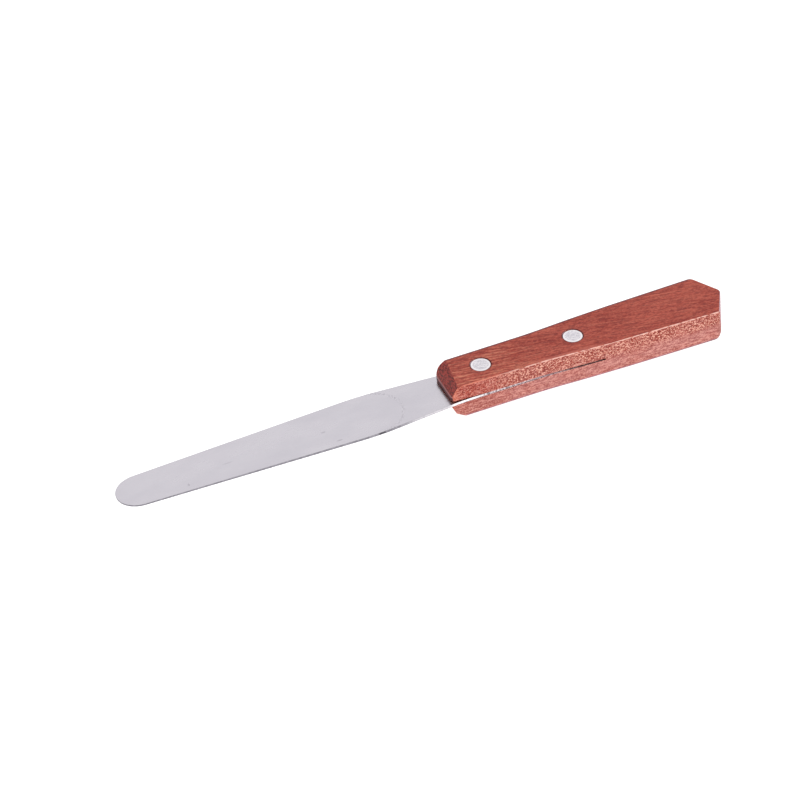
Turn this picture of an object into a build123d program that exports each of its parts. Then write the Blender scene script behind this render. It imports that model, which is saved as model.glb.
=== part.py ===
"""Palette knife: a taper-ground steel blade riveted into a one-piece, saw-kerfed hardwood handle.

Millimetres. X runs along the knife, from the blade's tip (-X) to the handle's butt (+X). Y runs across
it, and Z is up. The origin is at mid length, on the centre line, in the plane of the handle's underside.
"""

import os
from math import cos, radians, sin, tan

from build123d import *

# Overall
overall_length = 203.2
blade_length = 106.4
tip_x = -overall_length / 2
butt_x = overall_length / 2
front_x = tip_x + blade_length

# Blade and tang
blade_thickness = 0.9
tip_thickness = 0.5
blade_underside_z = 6.1
tip_round_length = 7.6
tip_round_width = 13.7
shoulder_from_tip = 81.2
shoulder_width = 19.65
shoulder_radius = 85.0
tang_width = 14.6
neck_into_handle = 4.0
neck_radius = 60.0
tang_end_from_tip = 156.0
tang_corner_radius = 1.5

# Ground faces of the working part: a shallow step at their round end, deepest at the tip
grind_end_from_tip = 92.4
grind_end_radius = 9.4
grind_step = 0.02
wider_than_blade = 30.0

# Handle
handle_front_thickness = 12.7
handle_butt_thickness = 11.3
handle_front_width = 14.5
handle_flare_start_width = 15.3
handle_middle_width = 18.0
handle_butt_width = 20.2
flare_start_from_tip = 139.0
flare_middle_from_tip = 160.5
gable_angle = 28.5
flare_start_radius = 150.0
flare_middle_radius = 400.0
nose_far_corner_radius = 3.0
nose_near_corner_radius = 1.2
butt_corner_radius = 2.0
gable_tip_radius = 2.0
top_edge_radius = 0.5
bottom_edge_radius = 1.0
taller_than_handle = 40.0

# Nose of the handle: a steep facet above the kerf, a flatter one ground askew over it, and two
# short ones below. An upper facet is a point behind the nose, a slope from level and a skew.
nose_steep_facet = ((0.85, 0.0, 10.2), 66.0, 0.0)
nose_flat_facet = ((3.3, -0.7, 12.66), 34.0, 8.0)
nose_land_low_z = 5.4
nose_lower_corner_run = 1.3
nose_lower_corner_z = 2.5
nose_underside_run = 5.0

# Saw kerf: the saw is a disc, so the kerf ends in its arc
kerf_height = 1.15
kerf_end_from_tip = 159.4
saw_radius = 75.0

# Two-piece cutler's rivets: a headed pin driven into a headed barrel
rivets_from_tip = {"front": 119.55, "rear": 151.2}
rivet_head_diameter = 6.35
rivet_head_thickness = 1.6
barrel_diameter = 3.6
barrel_end_below_pin_head = 0.3
barrel_floor_thickness = 1.2
pin_diameter = 2.4
pin_end_above_barrel_floor = 0.5
running_gap = 0.05
tang_hole_diameter = 4.0


def from_tip(distance):
    """X of a point this far from the blade's tip."""
    return tip_x + distance


def handle_top_z(x):
    """Height of the handle's top face, which falls evenly from the nose to the butt."""
    share = (x - front_x) / (butt_x - front_x)
    return handle_front_thickness + share * (handle_butt_thickness - handle_front_thickness)


def blade_outline():
    """Plan of the blade and tang: round tip, straight taper, soft shoulders, neck, parallel tang."""
    round_end_x = from_tip(tip_round_length)
    tang_end_x = from_tip(tang_end_from_tip)
    with BuildSketch() as plan:
        with BuildLine():
            EllipticalCenterArc(
                (round_end_x, 0), tip_round_length, tip_round_width / 2, start_angle=90, arc_size=90
            )
            FilletPolyline(
                (round_end_x, tip_round_width / 2),
                (from_tip(shoulder_from_tip), shoulder_width / 2),
                (front_x + neck_into_handle, tang_width / 2),
                (tang_end_x, tang_width / 2),
                (tang_end_x, 0),
                radius=(shoulder_radius, neck_radius, tang_corner_radius),
            )
            mirror(about=Plane.XZ)
        make_face()
    return plan.sketch


def grind_cutter():
    """Metal ground off the upper face: a thin wedge from the tip to a round end near the shoulders."""
    top = blade_underside_z + blade_thickness
    end_x = from_tip(grind_end_from_tip)
    round_x = end_x - grind_end_radius
    before_tip_x = tip_x - 1
    tip_cut = (blade_thickness - tip_thickness) / 2
    with BuildSketch(Plane.XZ) as side:
        with BuildLine():
            Polyline(
                (end_x, top + 1),
                (before_tip_x, top + 1),
                (before_tip_x, top - tip_cut),
                (end_x, top - grind_step),
                close=True,
            )
        make_face()
    wedge = extrude(side.sketch, wider_than_blade / 2, both=True)
    ground_length = round_x - before_tip_x
    ground_centre_x = (round_x + before_tip_x) / 2
    plan = Pos(ground_centre_x, 0) * Rectangle(ground_length, wider_than_blade)
    plan += Pos(round_x, 0) * Circle(grind_end_radius)
    return wedge & extrude(plan, taller_than_handle)


def rivet_x(place):
    """X of a rivet's axis."""
    return from_tip(rivets_from_tip[place])


def blade():
    """Sheet-steel blade with its tang, thinned towards the tip on both faces."""
    sheet = Pos(0, 0, blade_underside_z) * extrude(blade_outline(), blade_thickness)
    upper_cut = grind_cutter()
    middle = Plane.XY.offset(blade_underside_z + blade_thickness / 2)
    sheet -= upper_cut
    sheet -= mirror(upper_cut, about=middle)
    for place in rivets_from_tip:
        hole = Cylinder(tang_hole_diameter / 2, taller_than_handle)
        sheet -= Pos(rivet_x(place), 0, 0) * hole
    return sheet


def handle_outline():
    """Plan of the handle: near parallel at the front, flared to the butt, and pointed like a gable."""
    corners = {1: nose_far_corner_radius, -1: nose_near_corner_radius}
    sharp_tip_x = butt_x + gable_tip_radius * (1 / cos(radians(gable_angle)) - 1)
    shoulder_x = sharp_tip_x - handle_butt_width / 2 * tan(radians(gable_angle))
    with BuildSketch() as plan:
        with BuildLine():
            for side, nose_radius in corners.items():
                FilletPolyline(
                    (front_x, 0),
                    (front_x, side * handle_front_width / 2),
                    (from_tip(flare_start_from_tip), side * handle_flare_start_width / 2),
                    (from_tip(flare_middle_from_tip), side * handle_middle_width / 2),
                    (shoulder_x, side * handle_butt_width / 2),
                    (sharp_tip_x, 0),
                    radius=(nose_radius, flare_start_radius, flare_middle_radius, butt_corner_radius),
                )
        make_face()
        fillet(plan.vertices().sort_by(Axis.X)[-1], gable_tip_radius)
    return plan.sketch


def side_slab(*corners):
    """Solid with these XZ corners as its side view, wider than the knife."""
    with BuildSketch(Plane.XZ) as side:
        with BuildLine():
            Polyline(*corners, close=True)
        make_face()
    return extrude(side.sketch, wider_than_blade / 2, both=True)


def under_top_face():
    """Everything between the plane of the underside and the sloping plane of the top face."""
    before_x = front_x - taller_than_handle
    beyond_x = butt_x + taller_than_handle
    return side_slab(
        (before_x, 0), (beyond_x, 0), (beyond_x, handle_top_z(beyond_x)), (before_x, handle_top_z(before_x))
    )


def nose_upper_cut(point, slope, skew):
    """Wood outside one upper facet, a plane through the point, measured back from the nose."""
    behind, y, z = point
    slope, skew = radians(slope), radians(skew)
    outwards = (-sin(slope) * cos(skew), sin(slope) * sin(skew), cos(slope))
    facet = Plane(origin=(front_x + behind, y, z), z_dir=outwards)
    return extrude(facet * Rectangle(taller_than_handle, taller_than_handle), taller_than_handle)


def nose_lower_cut():
    """Wood taken off below the kerf: a steep facet, then a flatter one running into the underside."""
    return side_slab(
        (front_x, nose_land_low_z),
        (front_x + nose_lower_corner_run, nose_lower_corner_z),
        (front_x + nose_underside_run, 0),
        (front_x + nose_underside_run, -1),
        (front_x - 1, -1),
        (front_x - 1, nose_land_low_z),
    )


def rivet_bore(place):
    """Wood drilled out for one rivet: a clearance hole, counterbored from both faces for the heads."""
    x = rivet_x(place)
    hole = Cylinder(barrel_diameter / 2 + running_gap, taller_than_handle)
    head_room = rivet_head_diameter / 2 + running_gap
    align = (Align.CENTER, Align.CENTER, Align.MIN)
    lower = Cylinder(head_room, rivet_head_thickness, align=align)
    upper = Cylinder(head_room, taller_than_handle, align=align)
    upper_floor_z = handle_top_z(x) - rivet_head_thickness
    return Pos(x, 0, 0) * (hole + lower + Pos(0, 0, upper_floor_z) * upper)


def handle():
    """One-piece hardwood handle with its saw kerf and rivet bores."""
    block = extrude(handle_outline(), taller_than_handle) & under_top_face()
    bottom = block.faces().sort_by(Axis.Z)[0]
    block = fillet(bottom.edges(), bottom_edge_radius)
    top = block.faces().sort_by(Axis.Z)[-1]
    block = fillet(top.edges(), top_edge_radius)
    block -= nose_upper_cut(*nose_steep_facet)
    block -= nose_upper_cut(*nose_flat_facet)
    block -= nose_lower_cut()
    saw = Cylinder(saw_radius, kerf_height, align=(Align.MAX, Align.CENTER, Align.MIN))
    block -= Pos(from_tip(kerf_end_from_tip), 0, blade_underside_z) * saw
    for place in rivets_from_tip:
        block -= rivet_bore(place)
    return block


def rivet_barrel(place):
    """Lower rivet half: a flat head in the underside and a hollow barrel standing up through the tang."""
    x = rivet_x(place)
    barrel_top_z = handle_top_z(x) - rivet_head_thickness - barrel_end_below_pin_head
    align = (Align.CENTER, Align.CENTER, Align.MIN)
    head = Cylinder(rivet_head_diameter / 2, rivet_head_thickness, align=align)
    barrel = Cylinder(barrel_diameter / 2, barrel_top_z, align=align)
    bore = Cylinder(pin_diameter / 2 + running_gap, barrel_top_z, align=align)
    return Pos(x, 0, 0) * (head + barrel - Pos(0, 0, barrel_floor_thickness) * bore)


def rivet_pin(place):
    """Upper rivet half: a flat head, sanded flush with the sloping top face, and its pin."""
    x = rivet_x(place)
    head_underside_z = handle_top_z(x) - rivet_head_thickness
    pin_end_z = barrel_floor_thickness + pin_end_above_barrel_floor
    align = (Align.CENTER, Align.CENTER, Align.MIN)
    head = Cylinder(rivet_head_diameter / 2, 2 * rivet_head_thickness, align=align)
    pin = Cylinder(pin_diameter / 2, head_underside_z - pin_end_z, align=align)
    rivet = Pos(x, 0, head_underside_z) * head + Pos(x, 0, pin_end_z) * pin
    return rivet & under_top_face()


parts = {"blade": blade(), "handle": handle()}
for place in rivets_from_tip:
    parts[place + "_rivet_barrel"] = rivet_barrel(place)
    parts[place + "_rivet_pin"] = rivet_pin(place)

os.makedirs("parts", exist_ok=True)
for name, shape in parts.items():
    export_step(shape, "parts/" + name + ".step")
    print(name, round(shape.volume, 1), "mm3")
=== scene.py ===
# %% [markdown]
# # A palette knife
# The real tool is a thin springy steel blade whose tang is held in the saw kerf of a hardwood
# handle by two rivets. The measured model of those parts is loaded first, as a fixed frame. Each
# visible piece is then built again in that frame, with the rounded edges and finishes that a
# plain solid lacks. Loading it first means that every place and size can be checked against it.

# %% Load the frame
from math import cos, pi, radians, sin, tan

import bmesh
import bpy
from mathutils import Matrix, Quaternion, Vector


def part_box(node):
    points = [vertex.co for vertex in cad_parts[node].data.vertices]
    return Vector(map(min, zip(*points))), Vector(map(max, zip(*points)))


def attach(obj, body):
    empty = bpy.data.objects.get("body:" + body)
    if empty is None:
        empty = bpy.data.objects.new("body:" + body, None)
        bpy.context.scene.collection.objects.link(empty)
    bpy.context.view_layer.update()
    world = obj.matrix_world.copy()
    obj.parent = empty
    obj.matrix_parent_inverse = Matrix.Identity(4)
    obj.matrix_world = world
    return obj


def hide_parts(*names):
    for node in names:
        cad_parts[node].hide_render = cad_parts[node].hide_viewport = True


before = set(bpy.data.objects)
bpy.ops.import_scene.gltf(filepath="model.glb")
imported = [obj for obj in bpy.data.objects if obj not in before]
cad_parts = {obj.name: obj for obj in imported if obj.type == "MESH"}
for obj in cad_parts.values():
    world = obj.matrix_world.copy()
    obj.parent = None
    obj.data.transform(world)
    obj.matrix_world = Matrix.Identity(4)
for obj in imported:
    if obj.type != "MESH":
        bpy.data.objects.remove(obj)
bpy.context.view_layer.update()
print("nodes in the frame:", ", ".join(sorted(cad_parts)))

# %% [markdown]
# ## Camera
# A small tool is usually shot from a little distance with a long lens, so that its far end
# doesn't shrink. A camera could be aimed by a constraint, but a rotation worked out once from
# azimuth, elevation and roll stays put and is easy to read. The roll is the slight tilt of a
# camera held by hand over the table.

# %% Camera
camera_aim = Vector((-0.00845, 0.00304, 0.00611))
camera_azimuth = radians(-18.65)
camera_elevation = radians(39.56)
camera_roll = radians(-5.87)
camera_distance = 0.689
camera_lens = 100

towards_camera = Vector((
    sin(camera_azimuth) * cos(camera_elevation),
    -cos(camera_azimuth) * cos(camera_elevation),
    sin(camera_elevation),
))
camera = bpy.data.objects.new("camera", bpy.data.cameras.new("camera"))
bpy.context.scene.collection.objects.link(camera)
camera.data.lens = camera_lens
camera.data.clip_start = 0.01
camera.location = camera_aim + towards_camera * camera_distance
camera.rotation_mode = "QUATERNION"
looking = (-towards_camera).to_track_quat("-Z", "Y")
camera.rotation_quaternion = looking @ Quaternion((0, 0, 1), camera_roll)
bpy.context.scene.camera = camera
bpy.context.scene.view_settings.view_transform = "Standard"
print("camera at", [round(n, 3) for n in camera.location])

# %% [markdown]
# ## Nodes in a few words
# A procedural material is a chain of small nodes. Writing each node's creation in full makes long
# code, so these helpers add a node, feed its sockets with numbers or with other nodes' outputs,
# and hand back the output that matters. Every pattern later on is made with them.

# %% Node helpers
def new_material(name):
    """A node material and its Principled shader."""
    material = bpy.data.materials.new(name)
    material.use_nodes = True
    return material, material.node_tree.nodes["Principled BSDF"]


def feed(material, socket, value):
    """Links another node's output to a socket, or sets the socket to a number or colour."""
    if isinstance(value, bpy.types.NodeSocket):
        material.node_tree.links.new(value, socket)
    else:
        socket.default_value = value


def add_node(material, kind, **inputs):
    """Adds a node of this kind, with its inputs named in words joined by underscores."""
    node = material.node_tree.nodes.new("ShaderNode" + kind)
    for name, value in inputs.items():
        feed(material, node.inputs[name.replace("_", " ")], value)
    return node


def calculate(material, operation, first, second=0.0):
    """One step of arithmetic on two values."""
    node = material.node_tree.nodes.new("ShaderNodeMath")
    node.operation = operation
    feed(material, node.inputs[0], first)
    feed(material, node.inputs[1], second)
    return node.outputs[0]


def fade(material, value, start, end):
    """0 before start, 1 after end, and a smooth change between them."""
    node = add_node(material, "MapRange", Value=value, From_Min=start, From_Max=end)
    node.interpolation_type = "SMOOTHSTEP"
    return node.outputs["Result"]


def tint(material, amount, under, over):
    """Lays one colour over another by an amount from 0 to 1."""
    node = material.node_tree.nodes.new("ShaderNodeMix")
    node.data_type = "RGBA"
    feed(material, node.inputs["Factor"], amount)
    feed(material, node.inputs[6], under)
    feed(material, node.inputs[7], over)
    return node.outputs[2]


def noise(material, places, repeats, detail=3.0, roughness=0.5, shift=(0, 0, 0)):
    """Cloudy noise with its own number of repeats per metre along X, Y and Z."""
    mapping = add_node(material, "Mapping", Vector=places, Location=shift, Scale=repeats)
    node = add_node(
        material, "TexNoise", Vector=mapping.outputs[0], Scale=1.0, Detail=detail, Roughness=roughness
    )
    return node.outputs[0]


print("helpers ready")

# %% [markdown]
# ## Floor
# Small catalogue goods are often laid on a light table: a white sheet, lit a little from below, so
# that shadows fade away. A white floor alone would show a grey shadow under the raised blade, and
# would take on the red of the handle. So this floor is grey underneath, which mirrors little of
# the handle's colour, and its own glow brings it up to white.

# %% Floor
floor_half_width = 3.0
floor_grey = (0.45, 0.45, 0.45, 1.0)
floor_glow = 0.92

bm = bmesh.new()
bmesh.ops.create_grid(bm, x_segments=1, y_segments=1, size=floor_half_width)
floor = bpy.data.objects.new("floor", bpy.data.meshes.new("floor"))
bm.to_mesh(floor.data)
bm.free()
bpy.context.scene.collection.objects.link(floor)
table_white, shader = new_material("light_table")
shader.inputs["Base Color"].default_value = floor_grey
shader.inputs["Roughness"].default_value = 0.9
shader.inputs["Specular IOR Level"].default_value = 0.0
shader.inputs["Emission Color"].default_value = (1.0, 1.0, 1.0, 1.0)
shader.inputs["Emission Strength"].default_value = floor_glow
floor.data.materials.append(table_white)
print("floor", 2 * floor_half_width, "m square")

# %% [markdown]
# ## Light
# The room is an even white tent, which the steel mirrors as one clean tone. A wide soft box from
# the front right makes the handle's near side brighter than its top. It is an area light, because
# the size of such a light sets how soft it is. It stands where the blade doesn't mirror it to the
# camera, so the steel keeps its even tone.

# %% Light
tent_white = (1.0, 0.99, 1.0, 1.0)
tent_strength = 0.95
world = bpy.data.worlds.new("white_tent")
world.use_nodes = True
world.node_tree.nodes["Background"].inputs["Color"].default_value = tent_white
world.node_tree.nodes["Background"].inputs["Strength"].default_value = tent_strength
bpy.context.scene.world = world


def soft_box(name, place, width, watts):
    """A square area light at this place, facing the knife."""
    light = bpy.data.lights.new(name, "AREA")
    light.shape = "SQUARE"
    light.size = width
    light.energy = watts
    lamp = bpy.data.objects.new(name, light)
    bpy.context.scene.collection.objects.link(lamp)
    lamp.location = place
    lamp.rotation_mode = "QUATERNION"
    lamp.rotation_quaternion = (-Vector(place)).to_track_quat("-Z", "Y")
    return lamp


soft_box("front_box", (0.55, -1.1, 0.6), 0.9, 4.5)
print("tent and soft box")

# %% [markdown]
# ## From bench to scene
# Blender's scene is in metres, but the knife's dimensions read best in millimetres, and the mesh
# tools behave well at that size. So each piece is shaped in millimetres, as on a bench, and
# shrunk into metres at the end, with its place kept in its mesh.

# %% Bench helpers
MM = 0.001


def on_bench(bm, name):
    """Turns a bmesh into an object, still in millimetres."""
    bmesh.ops.recalc_face_normals(bm, faces=bm.faces[:])
    mesh = bpy.data.meshes.new(name)
    bm.to_mesh(mesh)
    bm.free()
    piece = bpy.data.objects.new(name, mesh)
    bpy.context.scene.collection.objects.link(piece)
    return piece


def into_scene(piece, node, materials, sharp_angle=32):
    """Shrinks a finished piece to metres, and lets it stand for its node in the frame."""
    piece.data.transform(Matrix.Scale(MM, 4))
    piece.data.polygons.foreach_set("use_smooth", [True] * len(piece.data.polygons))
    piece.data.set_sharp_from_angle(angle=radians(sharp_angle))
    for material in materials:
        piece.data.materials.append(material)
    even = piece.modifiers.new("flat faces stay flat", "WEIGHTED_NORMAL")
    even.keep_sharp = True
    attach(piece, "root")
    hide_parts(node)
    low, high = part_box(node)
    corners = [piece.matrix_world @ v.co for v in piece.data.vertices]
    spare = [min(c[i] for c in corners) - low[i] for i in range(3)]
    spare += [high[i] - max(c[i] for c in corners) for i in range(3)]
    room = [round(s / MM, 2) for s in spare]
    print(piece.name, len(piece.data.polygons), "faces, room in its box (mm):", room)


print("1 mm is", MM, "m here")

# %% [markdown]
# ## Handle: the plan
# The handle is sawn from a board to an outline: near parallel at the nose, flared towards the
# butt, and cut off like a gable roof. The near half of that gable leans out a little lower down,
# so the plan is drawn at its fullest and the lean is sawn later. The outline has few corners, so
# they are typed in as one flat face, and a vertex bevel rounds each one. Its offset comes from
# the wanted radius.

# %% Handle plan
tip_x = -101.6
butt_x = 101.6
front_x = tip_x + 106.4
gable_angle = radians(28.5)
gable_tip_radius = 2.0
gable_lean = 0.45
butt_width = 20.14
sharp_butt_x = butt_x + gable_tip_radius * (1 / cos(gable_angle) - 1)
shoulder_x = sharp_butt_x - butt_width / 2 * tan(gable_angle)
plan_stations = [(front_x, 14.5), (tip_x + 139.0, 15.3), (tip_x + 160.5, 18.0), (shoulder_x, butt_width)]
station_radii = [150.0, 400.0, 2.0]


def flat_face(bm, points):
    """One flat face with these corners, taken anticlockwise."""
    return bm.faces.new([bm.verts.new((x, y, 0)) for x, y in points])


def round_corner(bm, x, y, radius, segments):
    """Rounds the plan's corner nearest this point to a radius."""
    corner = min(bm.verts, key=lambda v: (v.co.xy - Vector((x, y))).length)
    first, second = (e.other_vert(corner).co - corner.co for e in corner.link_edges)
    turn = pi - first.angle(second)
    bmesh.ops.bevel(
        bm, geom=[corner], offset=radius * tan(turn / 2), offset_type="OFFSET", segments=segments,
        profile=0.5, affect="VERTICES", material=-1,
    )


bm = bmesh.new()
near_side = [(x, -width / 2) for x, width in plan_stations]
near_side[-1] = (shoulder_x + gable_lean, -butt_width / 2)
far_side = [(x, width / 2) for x, width in reversed(plan_stations)]
flat_face(bm, near_side + [(sharp_butt_x, 0)] + far_side)
round_corner(bm, sharp_butt_x, 0, gable_tip_radius, 10)
for side in (-1, 1):
    for (x, width), radius in zip(plan_stations[1:], station_radii):
        round_corner(bm, x, side * width / 2, radius, 8)
nose_half_width = plan_stations[0][1] / 2
round_corner(bm, front_x, nose_half_width, 3.0, 8)
round_corner(bm, front_x, -nose_half_width, 1.2, 5)
print("plan has", len(bm.verts), "points")

# %% [markdown]
# ## Handle: the blank
# The outline becomes a block by extruding the face. The top isn't level: it was planed so that
# the handle thins from nose to butt. Cutting the block with a sloping plane gives exactly that,
# where moving points by eye would not keep the face flat. A second cut, through three points,
# gives the near half of the gable its lean.

# %% Handle blank
front_thickness = 12.7
butt_thickness = 11.3
top_slope = (butt_thickness - front_thickness) / (butt_x - front_x)
lean_middle_z = 5.0
lean_top_inset = 0.15


def top_z(x):
    """Height of the handle's top face at this X."""
    return front_thickness + top_slope * (x - front_x)


def extrude_up(bm, height):
    """Gives a flat plan its height."""
    raised = bmesh.ops.extrude_face_region(bm, geom=bm.faces[:])["geom"]
    raised_points = [v for v in raised if isinstance(v, bmesh.types.BMVert)]
    bmesh.ops.translate(bm, vec=(0, 0, height), verts=raised_points)
    bmesh.ops.recalc_face_normals(bm, faces=bm.faces[:])


def plane_cut(bm, point, normal):
    """Cuts everything off on the normal's side of a plane, and closes the cut with one face."""
    whole = bm.verts[:] + bm.edges[:] + bm.faces[:]
    cut = bmesh.ops.bisect_plane(
        bm, geom=whole, dist=1e-5, plane_co=point, plane_no=normal, clear_outer=True
    )
    rim = [e for e in cut["geom_cut"] if isinstance(e, bmesh.types.BMEdge)]
    bmesh.ops.contextual_create(bm, geom=rim)


extrude_up(bm, 2 * front_thickness)
plane_cut(bm, (front_x, 0, front_thickness), (-top_slope, 0, 1))
gable_top = Vector((sharp_butt_x, 0, butt_thickness))
shoulder_top = Vector((shoulder_x - lean_top_inset, -butt_width / 2, butt_thickness))
shoulder_middle = Vector((shoulder_x + gable_lean, -butt_width / 2, lean_middle_z))
plane_cut(bm, shoulder_top, (shoulder_middle - shoulder_top).cross(gable_top - shoulder_top))
print("blank stands", round(max(v.co.z for v in bm.verts), 2), "mm high")

# %% [markdown]
# ## Handle: sanded edges
# The long edges were eased by sanding: barely on top, more underneath. An edge bevel does that,
# on the edges round the top and the bottom face. It comes before the nose is ground, as on the
# bench, because grinding cuts through the eased edges.

# %% Handle edges
lower_edge_radius = 1.0
upper_edge_radius = 0.5


def rim_of(bm, up):
    """The edges round the block's top (up = 1) or bottom (up = -1)."""
    cap = max(bm.faces, key=lambda f: f.calc_area() if f.normal.z * up > 0.9 else 0)
    return list(cap.edges)


def ease(bm, edges, radius, segments):
    """Rounds edges, and gives back the new faces."""
    return bmesh.ops.bevel(
        bm, geom=edges, offset=radius, offset_type="OFFSET", segments=segments, profile=0.5,
        affect="EDGES", material=-1,
    )["faces"]


ease(bm, rim_of(bm, -1), lower_edge_radius, 6)
ease(bm, rim_of(bm, 1), upper_edge_radius, 4)
print("handle edges eased by", lower_edge_radius, "and", upper_edge_radius, "mm")

# %% [markdown]
# ## Handle: nose and butt
# The nose was ground by hand above, in one rolling stroke that runs more and more askew, and in
# two short facets below the blade, and the butt's lower edge was rounded more than the others. A
# few plane cuts, each turned a little further, give the rolling strokes, and smooth shading joins
# them. A last fine bevel takes the sharpness off the ground edges.

# %% Nose and butt
upper_strokes = [
    ((front_x + 0.1, 0, 9.0), 62.5, 0),
    ((front_x + 1.49, -0.25, 11.16), 50, 3),
    ((front_x + 3.3, -0.7, 12.66), 34, 8),
]
lower_facets = [((front_x, 0, 5.4), (-2.9, 0, -1.3)), ((front_x + 1.3, 0, 2.5), (-2.5, 0, -3.7))]
butt_bottom_radius = 3.2

for point, slope, skew in upper_strokes:
    slope, skew = radians(slope), radians(skew)
    plane_cut(bm, point, (-sin(slope) * cos(skew), sin(slope) * sin(skew), cos(slope)))
for point, normal in lower_facets:
    plane_cut(bm, point, normal)
for side, lean in ((-1, gable_lean), (1, 0)):
    outwards = Vector((cos(gable_angle), side * sin(gable_angle), 0))
    on_gable = Vector((shoulder_x + lean, side * butt_width / 2, butt_bottom_radius))
    for turn in (22.5, 45, 67.5):
        normal = outwards * cos(radians(turn)) - Vector((0, 0, sin(radians(turn))))
        plane_cut(bm, on_gable + butt_bottom_radius * (normal - outwards), normal)

sharp_edges = [e for e in bm.edges if len(e.link_faces) == 2 and e.calc_face_angle() > radians(24)]
ease(bm, sharp_edges, 0.12, 2)
print("handle blank:", len(bm.faces), "faces,", sum(not e.is_manifold for e in bm.edges), "open edges")
handle = on_bench(bm, "handle_wood")

# %% [markdown]
# ## Handle: the kerf
# A thin circular saw opened the nose for the tang, so the slot ends in the saw's arc. The wood
# closes up on the tang towards that end, and the mouth was opened a little to start the tang. A
# disc with leaning faces and a wedge, both made by plane cuts, are subtracted as the saw and the
# file did it. That is simpler and truer than cutting an opening into the mesh by hand.

# %% Kerf
kerf_end_x = tip_x + 158.8
kerf_low_z = 6.1
kerf_high_z = 7.1
kerf_roof_fall = 0.0125
kerf_floor_fall = 0.0038
saw_radius = 75.0
saw_stock = 4.0
mouth_depth = 14.0
mouth_open_above = 0.55
mouth_open_below = 0.15
wedge_stock = 20.0


def carve(piece, cutter):
    """Takes the cutter's shape out of the piece, and throws the cutter away."""
    cut = piece.modifiers.new("carve", "BOOLEAN")
    cut.object = cutter
    cut.solver = "EXACT"
    graph = bpy.context.evaluated_depsgraph_get()
    carved = bpy.data.meshes.new_from_object(piece.evaluated_get(graph))
    piece.modifiers.remove(cut)
    piece.data = carved
    bpy.data.objects.remove(cutter)


def saw_disc():
    """The saw's disc, its faces leaning so that the slot closes towards its end."""
    bm = bmesh.new()
    bmesh.ops.create_cone(
        bm, cap_ends=True, segments=720, radius1=saw_radius, radius2=saw_radius, depth=saw_stock,
        matrix=Matrix.Translation((kerf_end_x - saw_radius, 0, (kerf_low_z + kerf_high_z) / 2)),
    )
    plane_cut(bm, (front_x, 0, kerf_high_z), (kerf_roof_fall, 0, 1))
    plane_cut(bm, (front_x, 0, kerf_low_z), (-kerf_floor_fall, 0, -1))
    return on_bench(bm, "saw")


def mouth_wedge():
    """The wood missing where the kerf's mouth was opened to start the tang."""
    mouth_end_x = front_x + mouth_depth
    roof_z = kerf_high_z - kerf_roof_fall * mouth_depth
    floor_z = kerf_low_z - kerf_floor_fall * mouth_depth
    rise = kerf_high_z + mouth_open_above - roof_z
    drop = floor_z - (kerf_low_z - mouth_open_below)
    bm = bmesh.new()
    bmesh.ops.create_cube(bm, size=wedge_stock)
    bmesh.ops.translate(bm, vec=(mouth_end_x - wedge_stock / 2, 0, 0), verts=bm.verts[:])
    plane_cut(bm, (mouth_end_x, 0, roof_z), (rise, 0, mouth_depth))
    plane_cut(bm, (mouth_end_x, 0, floor_z), (drop, 0, -mouth_depth))
    return on_bench(bm, "mouth")


carve(handle, mouth_wedge())
carve(handle, saw_disc())
print("handle after sawing:", len(handle.data.polygons), "faces")

# %% [markdown]
# ## Handle: rivet holes
# Each rivet hole is drilled through and counterbored from both faces for the heads. The
# counterbores are cut slightly wide, so that a thin dark ring of shadow sets each head off from
# the wood. Upright rods stand for the drills, and reach well past the wood at both ends.

# %% Rivet holes
rivet_x = {"front": tip_x + 119.55, "rear": tip_x + 151.2}
head_radius = 3.175
head_thickness = 1.6
head_gap = 0.19
barrel_radius = 1.8
barrel_gap = 0.05
under_handle = -1.0
over_handle = 20.0


def rod(name, x, low_z, high_z, radius, segments=64):
    """An upright cylinder with its axis at X."""
    bm = bmesh.new()
    bmesh.ops.create_cone(
        bm, cap_ends=True, segments=segments, radius1=radius, radius2=radius, depth=high_z - low_z,
        matrix=Matrix.Translation((x, 0, (low_z + high_z) / 2)),
    )
    return on_bench(bm, name)


for x in rivet_x.values():
    upper_seat_z = top_z(x) - head_thickness
    carve(handle, rod("drill", x, under_handle, over_handle, barrel_radius + barrel_gap))
    carve(handle, rod("lower_counterbore", x, under_handle, head_thickness, head_radius + head_gap))
    carve(handle, rod("upper_counterbore", x, upper_seat_z, over_handle, head_radius + head_gap))
print("handle after drilling:", len(handle.data.polygons), "faces")

# %% [markdown]
# ## Blade: the plan
# The blade is stamped from sheet: an oval tip, a long taper that widens to soft shoulders, and a
# neck into a parallel tang. The far side of the tip is a touch fuller than the near one, as it
# came off the grinder. Two square corners rounded until they meet give a half circle, and
# stretching it lengthwise gives the oval. The shoulders and neck are wide vertex bevels.

# %% Blade plan
blade_thickness = 0.9
blade_low_z = kerf_low_z
tip_round_length = 7.6
tip_half_width = 6.85
far_fullness = 0.2
round_end_x = tip_x + tip_round_length
square_tip = (round_end_x - tip_half_width, tip_half_width)
shoulder = (tip_x + 81.2, 9.825)
neck = (front_x + 4.0, 7.3)
tang_end = (tip_x + 156.0, 7.3)


def blade_side(fullness):
    """One side's corners from tip to tang, wider by this much where the round of the tip ends."""
    return [square_tip, (round_end_x, tip_half_width + fullness), shoulder, neck, tang_end]


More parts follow.
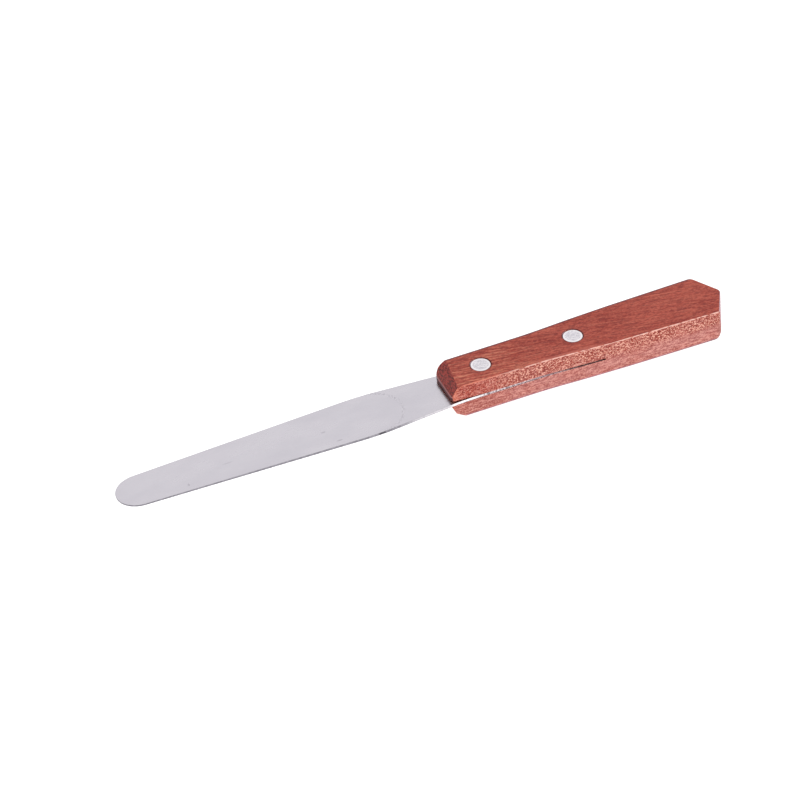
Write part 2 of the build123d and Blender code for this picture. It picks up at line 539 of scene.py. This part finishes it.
bm = bmesh.new()
flat_face(bm, [(x, -y) for x, y in blade_side(0)] + blade_side(far_fullness)[::-1])
for side in (-1, 1):
    for (x, y), radius, segments in (
        (shoulder, 85.0, 12), (neck, 60.0, 8), (tang_end, 1.5, 6), (square_tip, tip_half_width, 24),
    ):
        round_corner(bm, x, side * y, radius, segments)
bmesh.ops.remove_doubles(bm, verts=bm.verts[:], dist=0.005)
oval = [v for v in bm.verts if v.co.x < round_end_x - 0.001]
bmesh.ops.scale(
    bm, vec=(tip_round_length / tip_half_width, 1, 1), verts=oval,
    space=Matrix.Translation((-round_end_x, 0, 0)),
)
print("blade plan has", len(bm.verts), "points, tip at", round(min(v.co.x for v in bm.verts), 2))

# %% [markdown]
# ## Blade: thickness and grinding
# The sheet is 0.9 mm thick, and inside the handle its top leans with the kerf. Both faces of the
# working part were ground thinner towards the tip, and the grinding ends in a round step near
# the shoulders, too shallow to feel but easy to see in the light. A wedge with a round end,
# carved from each face, leaves that step as real geometry. The wedge is much wider than the
# blade, so that its side walls stay clear of the blade's rim. The tang is punched for the rivets.

# %% Blade body
tang_lean_start_x = front_x + 1.0
blade_middle_z = blade_low_z + blade_thickness / 2
grind_end_x = tip_x + 92.4
grind_radius = 9.4
grind_step = 0.02
tip_grind = 0.2
past_tip = 2.0
past_edges = 15.0
wedge_height = 2.0
tang_hole_radius = 2.0

extrude_up(bm, blade_thickness)
bmesh.ops.translate(bm, vec=(0, 0, blade_low_z), verts=bm.verts[:])
plane_cut(bm, (tang_lean_start_x, 0, blade_low_z + blade_thickness), (kerf_roof_fall, 0, 1))
blade = on_bench(bm, "blade_steel_sheet")


def grinder(face):
    """The metal ground off the upper (face = 1) or lower (face = -1) side of the blade."""
    bm = bmesh.new()
    round_x = grind_end_x - grind_radius
    near_half = [
        (tip_x - past_tip, -past_edges), (round_x, -past_edges), (round_x, -grind_radius),
        (grind_end_x, -grind_radius),
    ]
    flat_face(bm, near_half + [(x, -y) for x, y in reversed(near_half)])
    for side in (-1, 1):
        round_corner(bm, grind_end_x, side * grind_radius, grind_radius, 24)
    bmesh.ops.remove_doubles(bm, verts=bm.verts[:], dist=0.005)
    extrude_up(bm, wedge_height)
    deepening = (tip_grind - grind_step) / (grind_end_x - tip_x)
    for v in bm.verts:
        if v.co.z < wedge_height / 2:
            depth = grind_step + deepening * (grind_end_x - v.co.x)
            v.co.z = blade_thickness / 2 - depth
    bmesh.ops.scale(bm, vec=(1, 1, face), verts=bm.verts[:])
    bmesh.ops.translate(bm, vec=(0, 0, blade_middle_z), verts=bm.verts[:])
    return on_bench(bm, "grinder")


carve(blade, grinder(1))
carve(blade, grinder(-1))
for x in rivet_x.values():
    carve(blade, rod("punch", x, 0, over_handle, tang_hole_radius))
print("blade:", len(blade.data.polygons), "faces")

# %% [markdown]
# ## Blade: softened rim
# A stamped rim is tumbled or brushed so that it doesn't cut the fingers. Only the long rim edges
# are eased, picked by how tall the wall beside them is, so the fine grinding step stays crisp.
# The wall and its eased edges get the second of the blade's two materials, the rim's own.

# %% Blade rim
rim_radius = 0.07
shortest_wall = 0.3

bm = bmesh.new()
bm.from_mesh(blade.data)
bmesh.ops.remove_doubles(bm, verts=bm.verts[:], dist=0.0005)


def is_wall(face):
    """True for a face that stands up through the sheet's thickness."""
    heights = [v.co.z for v in face.verts]
    return abs(face.normal.z) < 0.3 and max(heights) - min(heights) > shortest_wall


rim = [e for e in bm.edges if len(e.link_faces) == 2 and sum(is_wall(f) for f in e.link_faces) == 1]
eased = set(ease(bm, rim, rim_radius, 2))
bmesh.ops.recalc_face_normals(bm, faces=bm.faces[:])
for face in bm.faces:
    face.material_index = int(face in eased or is_wall(face))
print("blade rim:", len(rim), "edges eased,", sum(not e.is_manifold for e in bm.edges), "open edges")
bm.to_mesh(blade.data)
bm.free()

# %% [markdown]
# ## Rivets
# Each rivet is in two halves: a headed pin driven from above into a headed barrel from below. Both
# are turned parts, so a short profile is spun round the axis. The upper head is sanded flush with
# the sloping wood, which a shear of its top points gives.

# %% Rivets
pin_radius = 1.2
pin_end_z = 1.7
bore_radius = 1.25
bore_floor_z = 1.2
head_sunk = 0.05
halves_gap = 0.3


def turned(name, x, profile, segments=64):
    """Spins a profile of (radius, height) points round the upright axis at X."""
    bm = bmesh.new()
    points = [bm.verts.new((radius, 0, z)) for radius, z in profile]
    line = [bm.edges.new(pair) for pair in zip(points, points[1:])]
    bmesh.ops.spin(
        bm, geom=points + line, cent=(0, 0, 0), axis=(0, 0, 1), angle=2 * pi, steps=segments, use_merge=True
    )
    bmesh.ops.remove_doubles(bm, verts=bm.verts[:], dist=0.001)
    bmesh.ops.translate(bm, vec=(x, 0, 0), verts=bm.verts[:])
    return bm


def rivet_halves(place, x):
    """The pin and the barrel of one rivet."""
    seat_z = top_z(x) - head_thickness
    flush_z = top_z(x) - head_sunk
    barrel_top_z = seat_z - halves_gap
    pin = turned(place + "_pin", x, [
        (0, pin_end_z), (pin_radius, pin_end_z), (pin_radius, seat_z), (head_radius, seat_z),
        (head_radius, flush_z - 0.22), (head_radius - 0.06, flush_z - 0.09), (head_radius - 0.2, flush_z),
        (head_radius - 0.5, flush_z + 0.01), (head_radius - 0.75, flush_z - 0.03), (0, flush_z - 0.04),
    ])
    for v in pin.verts:
        if v.co.z > seat_z + head_thickness / 3:
            v.co.z += top_slope * (v.co.x - x)
    barrel = turned(place + "_barrel", x, [
        (0, 0.04), (head_radius - 0.75, 0.03), (head_radius - 0.5, 0), (head_radius - 0.2, 0.01),
        (head_radius - 0.06, 0.1), (head_radius, 0.24), (head_radius, head_thickness),
        (barrel_radius, head_thickness), (barrel_radius, barrel_top_z), (bore_radius, barrel_top_z),
        (bore_radius, bore_floor_z), (0, bore_floor_z),
    ])
    return on_bench(pin, place + "_pin_metal"), on_bench(barrel, place + "_barrel_metal")


rivets = {place: rivet_halves(place, x) for place, x in rivet_x.items()}
print("rivet halves:", [half.name for pair in rivets.values() for half in pair])

# %% [markdown]
# ## Wood: the grain
# The handle is a red-brown hardwood, sanded and barely oiled. Wood is solid, so its pattern is
# too: noise stretched along the grain in object coordinates runs through every face, as in a real
# block. Three sizes are layered: broad bands of tone, streaks about as wide as a matchstick's
# edge, and hair-fine lines, with a fine mottle over them. Towards the nose more of the streaks
# turn tan, so the nose is lighter than the butt.

# %% Wood grain
def srgb(red, green, blue):
    """A colour as a paint chart gives it (0 to 255), made linear for the shader."""
    values = [c / 255 for c in (red, green, blue)]
    return tuple(c / 12.92 if c <= 0.04045 else ((c + 0.055) / 1.055) ** 2.4 for c in values) + (1.0,)


def times(material, *values):
    """Several masks multiplied together."""
    product = values[0]
    for value in values[1:]:
        product = calculate(material, "MULTIPLY", product, value)
    return product


def lay(material, under, over, *amounts):
    """Lays one colour over another, through all of these masks and strengths together."""
    return tint(material, times(material, *amounts), under, over)


def between(material, mask, low, high):
    """A strength that is low where the mask is 0 and high where it is 1."""
    return calculate(material, "ADD", times(material, mask, high - low), low)


wood, wood_shader = new_material("sanded_red_hardwood")
coordinates = add_node(wood, "TexCoord")
places = coordinates.outputs["Object"]
wood_x, wood_y, wood_z = add_node(wood, "SeparateXYZ", Vector=places).outputs
facing_x, facing_y, facing_z = add_node(wood, "SeparateXYZ", Vector=coordinates.outputs["Normal"]).outputs
grain_angle = radians(11)
grain = add_node(wood, "Mapping", Vector=places, Rotation=(0, 0, grain_angle)).outputs[0]

broad = noise(wood, grain, (45, 170, 170), detail=3, roughness=0.6)
streaks = noise(wood, grain, (130, 1500, 1500), detail=3, roughness=0.65, shift=(3, 1, 2))
lines = noise(wood, grain, (330, 3000, 3000), detail=3, roughness=0.65, shift=(1, 5, 7))
mottle = noise(wood, places, (1100, 1700, 1700), detail=2, roughness=0.6, shift=(6, 1, 3))
tan_strength = between(wood, fade(wood, wood_x, 0.045, 0.008), 0.22, 0.92)

colour = tint(wood, fade(wood, broad, 0.36, 0.64), srgb(153, 52, 38), srgb(172, 74, 58))
colour = lay(wood, colour, srgb(212, 134, 106), fade(wood, streaks, 0.47, 0.62), tan_strength)
colour = lay(wood, colour, srgb(110, 34, 28), fade(wood, streaks, 0.5, 0.34), 0.45)
colour = lay(wood, colour, srgb(108, 32, 28), fade(wood, lines, 0.5, 0.38), 0.6)
colour = lay(wood, colour, srgb(194, 98, 78), fade(wood, lines, 0.5, 0.62), 0.45)
colour = lay(wood, colour, srgb(112, 34, 30), fade(wood, mottle, 0.5, 0.38), 0.4)
colour = lay(wood, colour, srgb(194, 98, 82), fade(wood, mottle, 0.52, 0.64), 0.35)
print("wood: bands, streaks, fine lines and mottle")

# %% [markdown]
# ## Wood: the sides
# On the sides the saw crossed the wood's rays, which show as a glitter of pale specks with dark
# pores between them, strong in the upper half and behind the nose, and calm elsewhere. The base
# colour is blended from four corners first: upper and lower, by the nose and behind it, with the
# lower half painted paler as painted bounce light from the floor. Patches, short flakes along the
# grain, specks and pores are then laid over it, each stronger or weaker by the same two masks, and
# the whole is limited to the faces that look sideways.

# %% Wood sides
sideways = fade(wood, calculate(wood, "ABSOLUTE", facing_y), 0.6, 0.95)
upper = fade(wood, wood_z, 0.0045, 0.0085)
behind_nose = fade(wood, wood_x, 0.012, 0.030)
glitter = noise(wood, places, (1900, 2700, 2700), detail=2, roughness=0.6, shift=(9, 2, 4))
flakes = noise(wood, grain, (340, 1900, 1900), detail=3, roughness=0.6, shift=(4, 8, 1))
patchy = noise(wood, places, (110, 300, 300), detail=2, roughness=0.5, shift=(2, 2, 9))

side_upper = tint(wood, behind_nose, srgb(158, 46, 24), srgb(156, 58, 40))
# The lower half is painted paler: painted bounce light from the floor.
side_lower_bounce_lit = tint(wood, behind_nose, srgb(154, 76, 66), srgb(172, 104, 98))
side_colour = tint(wood, upper, side_lower_bounce_lit, side_upper)
side_colour = lay(wood, side_colour, srgb(178, 96, 82), fade(wood, patchy, 0.42, 0.62), 0.5)

flake_strength = between(wood, upper, 0.75, 0.45)
side_colour = lay(wood, side_colour, srgb(208, 142, 132), fade(wood, flakes, 0.5, 0.6), flake_strength)
side_colour = lay(wood, side_colour, srgb(132, 54, 48), fade(wood, flakes, 0.48, 0.38), 0.5)

speck_strength = calculate(wood, "ADD", times(wood, upper, between(wood, behind_nose, 0.1, 0.65)), 0.3)
side_colour = lay(wood, side_colour, srgb(226, 170, 150), fade(wood, glitter, 0.53, 0.6), speck_strength)
dark_pores = times(wood, fade(wood, glitter, 0.48, 0.4), between(wood, upper, 0.35, 0.8))
side_colour = tint(wood, dark_pores, side_colour, srgb(108, 28, 20))
colour = tint(wood, sideways, colour, side_colour)
print("wood: sides")

# %% [markdown]
# ## Wood: the ends
# End grain drinks oil and turns maroon, as on the nose. The sawn gable carries painted light,
# paler and greyer towards its top, while its pores stay dark. The direction that a face looks in
# finds both, and one pore pattern serves both.

# %% Wood ends
endways = fade(wood, calculate(wood, "ABSOLUTE", facing_x), 0.3, 0.5)
not_endways = calculate(wood, "SUBTRACT", 1, endways)
at_butt = fade(wood, facing_x, 0.3, 0.6)
end_pores = noise(wood, places, (3000, 1000, 2600), detail=3, roughness=0.7, shift=(7, 7, 7))
end_colour = tint(wood, fade(wood, end_pores, 0.38, 0.62), srgb(66, 10, 10), srgb(158, 56, 48))
colour = lay(wood, colour, end_colour, endways, 0.95)
# Painted light: the gable turns paler and greyer towards its top.
lit_gable_colour = tint(wood, fade(wood, wood_z, 0.004, 0.0095), srgb(176, 104, 96), srgb(214, 182, 190))
butt_strength = between(wood, fade(wood, end_pores, 0.40, 0.60), 0.5, 0.85)
colour = lay(wood, colour, lit_gable_colour, at_butt, butt_strength)
print("wood: ends")

# %% [markdown]
# ## Wood: the long edges
# A painted highlight runs along the near top edge as a bright line, broken here and there, and
# softer and more orange by the nose, with a paler band beside it; painted shade darkens the far
# top edge. These bands follow the outline, which flares, so a straight mask would miss them. The
# half width is therefore worked out along the handle in the same steps as the plan, and each band
# is a distance inwards from it.

# %% Wood long edges
def growth(start, end, rise):
    """How much the half width has grown, in metres, between two places along the handle."""
    node = add_node(
        wood, "MapRange", Value=wood_x, From_Min=start * MM, From_Max=end * MM, To_Max=rise * MM
    )
    return node.outputs["Result"]


def stretch(material, value, start, full_from, full_to, end):
    """A mask that fades in from start, is full for a stretch, and fades out by the end."""
    return times(material, fade(material, value, start, full_from), fade(material, value, end, full_to))


half_width = nose_half_width * MM
for (start, start_width), (end, end_width) in zip(plan_stations, plan_stations[1:]):
    half_width = calculate(wood, "ADD", half_width, growth(start, end, (end_width - start_width) / 2))
from_edge = calculate(wood, "SUBTRACT", half_width, calculate(wood, "ABSOLUTE", wood_y))
upwards = fade(wood, facing_z, 0.3, 0.5)
near = fade(wood, wood_y, 0.001, -0.001)
far = calculate(wood, "SUBTRACT", 1, near)
highlight_breaks = noise(wood, places, (420, 60, 60), detail=3, roughness=0.6, shift=(8, 3, 3))
near_top = times(wood, near, upwards, not_endways)

pale_band = times(
    wood, fade(wood, from_edge, 0.0016, 0.0008), stretch(wood, wood_x, 0.027, 0.038, 0.050, 0.062)
)
colour = lay(wood, colour, srgb(206, 120, 104), near_top, pale_band, 0.35)
# Painted highlight along the near top edge, broken by noise.
painted_edge_highlight = times(
    wood, fade(wood, from_edge, 0.00036, 0.00020), fade(wood, wood_x, 0.012, 0.034),
    fade(wood, highlight_breaks, 0.36, 0.56),
)
colour = lay(wood, colour, srgb(238, 190, 176), near_top, painted_edge_highlight, 0.9)
# Painted highlight on the near top edge by the nose, softer and more orange.
highlight_by_nose = times(
    wood, fade(wood, from_edge, 0.00040, 0.00022), stretch(wood, wood_x, 0.0075, 0.0095, 0.019, 0.024)
)
colour = lay(wood, colour, srgb(226, 136, 114), near_top, highlight_by_nose, 0.65)
# Painted shade along the far top edge.
far_edge_shade = times(wood, far, upwards, not_endways, fade(wood, from_edge, 0.0010, 0.0006))
colour = lay(wood, colour, srgb(92, 62, 74), far_edge_shade, 0.75)
print("wood: long edges")

# %% [markdown]
# ## Wood: painted shade, painted highlights and the lower edges
# Painted shade darkens the wood close round the rivets and the face under the lip over the blade,
# painted highlights lighten the near corner of the nose and that lip, and the lower edges are
# tinted greyish mauve. Each mark is a small mask, made from a place and the direction that a face
# looks in.

# %% Wood marks
def distance_from_rivet(material, places, x):
    """How far a point is from a rivet's upright axis."""
    from_axis = add_node(material, "Mapping", Vector=places, Location=(-x * MM, 0, 0), Scale=(1, 1, 0))
    node = add_node(material, "VectorMath")
    node.operation = "LENGTH"
    feed(material, node.inputs[0], from_axis.outputs[0])
    return node.outputs["Value"]


# Painted shade on the wood close round each rivet head.
for x in rivet_x.values():
    rivet_shade = fade(wood, distance_from_rivet(wood, places, x), 0.0038, 0.0034)
    colour = lay(wood, colour, srgb(70, 28, 32), rivet_shade, upwards, 0.6)

# Painted highlight on the near rounded corner of the nose and the side just behind it.
nose_corner_highlight = times(
    wood, stretch(wood, facing_x, -0.85, -0.6, -0.4, -0.2), fade(wood, facing_z, 0.35, 0.1),
    fade(wood, wood_y, 0, -0.001),
)
colour = lay(wood, colour, srgb(206, 112, 88), nose_corner_highlight, 0.6)
beside_corner_highlight = times(
    wood, sideways, near, fade(wood, wood_x, 0.0078, 0.0060), fade(wood, wood_z, 0.0074, 0.0084)
)
colour = lay(wood, colour, srgb(212, 118, 90), beside_corner_highlight, 0.35)

at_front = fade(wood, facing_x, -0.5, -0.7)
# Painted shade on the front face under the lip, over the blade.
shade_under_lip = stretch(wood, wood_z, 0.0068, 0.0070, 0.0087, 0.0089)
colour = lay(wood, colour, srgb(62, 36, 40), at_front, shade_under_lip, 0.85)
# Painted highlight along the lip over the blade.
lip_highlight = stretch(wood, wood_z, 0.0086, 0.0089, 0.0091, 0.0094)
colour = lay(wood, colour, srgb(158, 112, 112), at_front, lip_highlight, 0.75)

not_underneath = fade(wood, facing_z, -0.85, -0.6)
low_edge = times(wood, not_endways, not_underneath, fade(wood, wood_z, 0.0011, 0.0006))
colour = lay(wood, colour, srgb(150, 116, 136), low_edge, 0.8)
print("wood: marks of use")

# %% [markdown]
# ## Wood: inside the kerf
# Only the kerf's floor can be seen, as a thin line beside the tang. It is painted dark with shade
# at the mouth, then pale raw wood with sawdust further in, painted brighter as painted light where
# the slot would shade it. After that it is painted darker with shade again, and painted black as
# shadow at the end of the slot. Each of these is laid over the last one, by its place along the
# handle.

# %% Wood in the kerf
in_kerf = stretch(wood, wood_z, 0.0056, 0.0058, 0.0066, 0.0068)
kerf_floor = times(wood, in_kerf, fade(wood, facing_z, 0.7, 0.9))
sawdust_and_light = times(wood, fade(wood, wood_x, 0.008, 0.014), fade(wood, glitter, 0.38, 0.50))
# Painted shade: the kerf floor is dark at the mouth.
colour = lay(wood, colour, srgb(66, 30, 28), kerf_floor, 0.8)
# Raw wood and sawdust, painted brighter as painted light in the shaded slot.
colour = lay(wood, colour, srgb(240, 214, 216), kerf_floor, sawdust_and_light)
# Painted shade: darker again deeper in the slot.
colour = lay(wood, colour, srgb(70, 44, 46), kerf_floor, fade(wood, wood_x, 0.041, 0.049), 0.8)
# Painted shadow: black at the end of the slot.
colour = lay(wood, colour, srgb(26, 10, 10), kerf_floor, fade(wood, wood_x, 0.0553, 0.0562))
feed(wood, wood_shader.inputs["Base Color"], colour)
print("wood: kerf floor")

# %% [markdown]
# ## Wood: surface
# Sanded wood is matt with a low sheen, and its open pores catch the light. Roughness varies with
# the fine lines, and a bump from the same lines and pores keeps colour and relief in step.

# %% Wood surface
relief = calculate(wood, "SUBTRACT", times(wood, lines, 0.6), times(wood, dark_pores, sideways))
bump = add_node(wood, "Bump", Height=relief, Strength=0.4, Distance=0.00012)
feed(wood, wood_shader.inputs["Normal"], bump.outputs["Normal"])
feed(wood, wood_shader.inputs["Roughness"], between(wood, lines, 0.4, 0.7))
wood_shader.inputs["Specular IOR Level"].default_value = 0.3
print("wood surface done")

# %% [markdown]
# ## Steel
# The blade is rolled stainless sheet, finely polished along its length and a little scuffed by
# use. A metal shader with low roughness mirrors the tent, very fine lengthwise noise softens the
# mirror, and faint smudges and nicks break it up. Its colour is a shade violet, as chromium steel
# is. The nicks are where two noises agree, which gives small separate marks and not a cloud.

# %% Steel
steel, steel_shader = new_material("brushed_blade_steel")
places = add_node(steel, "TexCoord").outputs["Object"]
brushing = noise(steel, places, (60, 9000, 60), detail=2, roughness=0.6)
smudges = noise(steel, places, (55, 120, 55), detail=4, roughness=0.6, shift=(2, 6, 0))
nicks = noise(steel, places, (260, 800, 10), detail=5, roughness=0.75, shift=(5, 3, 0))
specks = noise(steel, places, (1100, 1800, 10), detail=3, roughness=0.7, shift=(1, 9, 0))
steel_tone = tint(steel, fade(steel, smudges, 0.3, 0.75), srgb(208, 205, 212), srgb(215, 212, 218))
dark_nicks = times(steel, fade(steel, nicks, 0.62, 0.75), fade(steel, specks, 0.45, 0.6))
steel_tone = lay(steel, steel_tone, srgb(150, 146, 158), dark_nicks, 0.6)
bright_nicks = times(steel, fade(steel, nicks, 0.4, 0.28), fade(steel, specks, 0.5, 0.7))
steel_tone = lay(steel, steel_tone, srgb(232, 230, 234), bright_nicks, 0.5)
print("steel: tone, smudges and nicks")

# %% [markdown]
# ## Steel: scuffs
# Use left four larger scuffs on the blade. Each is a soft oval spot: the coordinates are moved to
# its middle, turned, and stretched until the oval is a circle of radius 1, so that the distance
# from the middle makes the mask. It goes through the sheet, so the underside is scuffed there too.

# %% Steel scuffs
scuff_marks = [  # middle x and y, length, width, turn in degrees
    (-35.6, -1.2, 2.2, 1.0, 0),
    (-32.4, -7.0, 2.6, 0.9, 0),
    (-66.5, -0.9, 4.5, 0.35, 2),
    (-80.2, -4.8, 0.9, 1.6, 0),
]


def scuff(x, y, length, width, turn):
    """Mask of one soft oval spot on the blade."""
    moved = add_node(steel, "Mapping", Vector=places, Location=(-x * MM, -y * MM, 0))
    to_circle = add_node(
        steel, "Mapping", Vector=moved.outputs[0], Rotation=(0, 0, radians(-turn)),
        Scale=(2 / (length * MM), 2 / (width * MM), 0),
    )
    from_middle = add_node(steel, "VectorMath")
    from_middle.operation = "LENGTH"
    feed(steel, from_middle.inputs[0], to_circle.outputs[0])
    return fade(steel, from_middle.outputs["Value"], 1.0, 0.4)


for mark in scuff_marks:
    steel_tone = lay(steel, steel_tone, srgb(158, 155, 163), scuff(*mark), 0.35)
print("steel:", len(scuff_marks), "scuffs")

# %% [markdown]
# ## Steel: where the grinding stopped
# The wheel left a speckled arc at the end of the ground face. The distance from the arc's centre,
# worked out from the object coordinates, puts the marks exactly on the real step in the mesh.

# %% Grinding mark
from_centre = add_node(
    steel, "Mapping", Vector=places, Location=(-(grind_end_x - grind_radius) * MM, 0, 0), Scale=(1, 1, 0)
)
distance = add_node(steel, "VectorMath")
distance.operation = "LENGTH"
feed(steel, distance.inputs[0], from_centre.outputs[0])
past_arc = calculate(steel, "SUBTRACT", distance.outputs["Value"], grind_radius * MM)
on_arc = fade(steel, calculate(steel, "ABSOLUTE", past_arc), 0.0009, 0.0002)
ahead = fade(steel, add_node(steel, "SeparateXYZ", Vector=from_centre.outputs[0]).outputs["X"], -0.002, 0.003)
marks = noise(steel, places, (2400, 1500, 10), detail=3, roughness=0.7, shift=(4, 4, 0))
steel_tone = lay(steel, steel_tone, srgb(152, 148, 158), on_arc, ahead, fade(steel, marks, 0.48, 0.62), 0.35)
steel_tone = lay(steel, steel_tone, srgb(236, 234, 238), on_arc, ahead, fade(steel, marks, 0.48, 0.38), 0.3)
feed(steel, steel_shader.inputs["Base Color"], steel_tone)
steel_shader.inputs["Metallic"].default_value = 1.0
feed(steel, steel_shader.inputs["Roughness"], between(steel, smudges, 0.2, 0.32))
bump = add_node(steel, "Bump", Height=brushing, Strength=0.12, Distance=0.00002)
feed(steel, steel_shader.inputs["Normal"], bump.outputs["Normal"])
print("grinding mark", grind_radius, "mm in radius")

# %% [markdown]
# ## Steel: the rim
# The rim was sheared and then dressed. It is dull along the blade and carries a painted highlight
# that makes it paler towards the handle, with one dark nick at the near shoulder. In the mouth of
# the handle a brighter painted highlight lies on the tang's edge. Deeper in the kerf the edge is
# mottled and greyer, then a paler lavender grey, and painted shade darkens it towards the end of
# the slot. One material does all of these: each tone is laid over the last one where its stretch
# of the rim begins.

# %% Rim steel
rim_steel, rim_shader = new_material("stamped_rim_steel")
places = add_node(rim_steel, "TexCoord").outputs["Object"]
along, across = add_node(rim_steel, "SeparateXYZ", Vector=places).outputs[:2]
shear_marks = noise(rim_steel, places, (1500, 1500, 200), detail=3, roughness=0.6)
dull = tint(rim_steel, fade(rim_steel, shear_marks, 0.35, 0.7), srgb(122, 119, 126), srgb(152, 149, 156))
rim_highlight_near_handle = tint(rim_steel, fade(rim_steel, shear_marks, 0.3, 0.6), srgb(180, 177, 183), srgb(198, 195, 200))
mouth_highlight = tint(rim_steel, fade(rim_steel, shear_marks, 0.3, 0.6), srgb(220, 217, 220), srgb(244, 242, 244))
greyer_in_kerf = tint(rim_steel, fade(rim_steel, shear_marks, 0.4, 0.6), srgb(128, 112, 116), srgb(214, 204, 208))
# Painted highlight: the rim turns paler towards the handle.
rim_tone = lay(rim_steel, dull, rim_highlight_near_handle, fade(rim_steel, along, -0.016, -0.004))
# Painted highlight: the tang's edge is bright in the mouth of the handle.
rim_tone = lay(rim_steel, rim_tone, mouth_highlight, fade(rim_steel, along, 0.003, 0.005))
nick = times(
    rim_steel, stretch(rim_steel, along, -0.0210, -0.0200, -0.0188, -0.0178),
    fade(rim_steel, across, 0.001, -0.001),
)
rim_tone = lay(rim_steel, rim_tone, srgb(60, 58, 62), nick, 0.8)
rim_tone = lay(rim_steel, rim_tone, greyer_in_kerf, fade(rim_steel, along, 0.012, 0.018))
rim_tone = lay(rim_steel, rim_tone, srgb(186, 172, 180), fade(rim_steel, along, 0.028, 0.036))
# Painted shade: the tang's edge is dark towards the end of the slot.
rim_tone = lay(rim_steel, rim_tone, srgb(90, 76, 80), fade(rim_steel, along, 0.041, 0.046))
feed(rim_steel, rim_shader.inputs["Base Color"], rim_tone)
rim_shader.inputs["Metallic"].default_value = 1.0
rim_shader.inputs["Roughness"].default_value = 0.4
print("rim steel done")

# %% [markdown]
# ## Rivet metal
# The rivet heads were sanded together with the wood, so they are covered in tiny scuffs in all
# directions, inside a brighter rim where the edge is rounded and polished by hands.

# %% Rivet metal
rivet_metal, rivet_shader = new_material("scuffed_rivet_metal")
places = add_node(rivet_metal, "TexCoord").outputs["Object"]
scuffs = noise(rivet_metal, places, (1500, 2400, 300), detail=5, roughness=0.75)
patches = noise(rivet_metal, places, (500, 500, 100), detail=3, roughness=0.6, shift=(3, 3, 0))
off_axis = calculate(
    rivet_metal, "MINIMUM", *(distance_from_rivet(rivet_metal, places, x) for x in rivet_x.values())
)
rivet_tone = tint(rivet_metal, fade(rivet_metal, scuffs, 0.38, 0.64), srgb(206, 203, 209), srgb(246, 243, 246))
rivet_tone = lay(rivet_metal, rivet_tone, srgb(202, 198, 206), fade(rivet_metal, patches, 0.5, 0.7), 0.5)
polished_rim = fade(rivet_metal, off_axis, 0.00235, 0.0027)
rivet_tone = lay(rivet_metal, rivet_tone, srgb(252, 249, 251), polished_rim, 0.8)
feed(rivet_metal, rivet_shader.inputs["Base Color"], rivet_tone)
rivet_shader.inputs["Metallic"].default_value = 1.0
feed(rivet_metal, rivet_shader.inputs["Roughness"], between(rivet_metal, scuffs, 0.22, 0.47))
bump = add_node(rivet_metal, "Bump", Height=scuffs, Strength=0.3, Distance=0.00004)
feed(rivet_metal, rivet_shader.inputs["Normal"], bump.outputs["Normal"])
print("rivet metal done")

# %% [markdown]
# ## Assembly
# Every piece now gets its finish and takes the place of its part in the frame. The knife has no
# joints, so all of them ride on the one body.

# %% Assembly
into_scene(handle, "handle", [wood])
into_scene(blade, "blade", [steel, rim_steel])
for place, (pin, barrel) in rivets.items():
    into_scene(pin, place + "_rivet_pin", [rivet_metal])
    into_scene(barrel, place + "_rivet_barrel", [rivet_metal])
